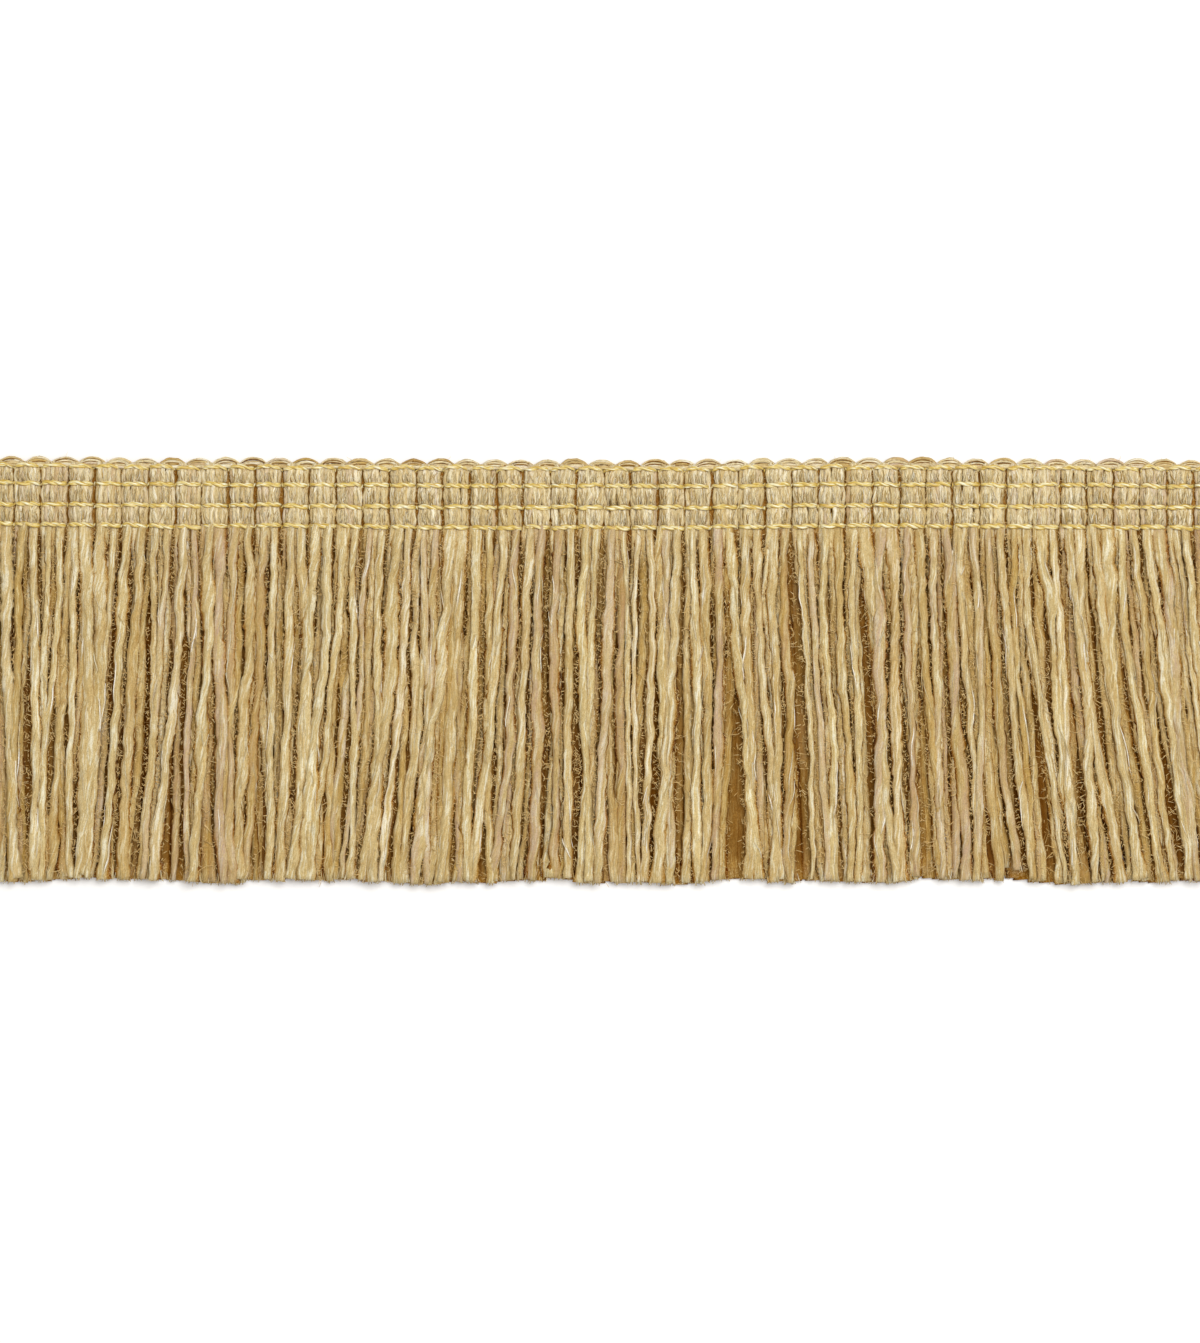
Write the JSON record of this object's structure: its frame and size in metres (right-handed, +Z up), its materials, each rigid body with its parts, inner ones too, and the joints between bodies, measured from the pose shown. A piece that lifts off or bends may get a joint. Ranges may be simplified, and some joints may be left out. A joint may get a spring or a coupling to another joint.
{
  "type": "brush fringe trim",
  "caption": "Straight length of brush fringe: a ribbed, scalloped heading bound by rows of gold chain stitch, with a loose cut yarn fringe below it.",
  "frame": {"origin": "middle of the trim's outline, on the surface that it lies on", "axes": "+X along the trim, +Y across it towards the scalloped edge of the heading, so the fringe points to -Y, +Z up out of its face"},
  "size_m": [0.2296, 0.0766, 0.0036],
  "materials": {
    "heading_yarn": "matt spun yarn laid in bundles, beige with pinkish and pale flecks",
    "fringe_yarn": "soft low-twist spun yarn, golden beige, fibrous and slightly hairy",
    "gold_thread": "glossy two-ply golden yellow thread"
  },
  "bodies": {
    "root": {"heading": "heading_yarn", "chain_1": "gold_thread", "chain_2": "gold_thread", "chain_3": "gold_thread", "chain_4": "gold_thread", "fringe": "fringe_yarn"}
  },
  "joints": []
}
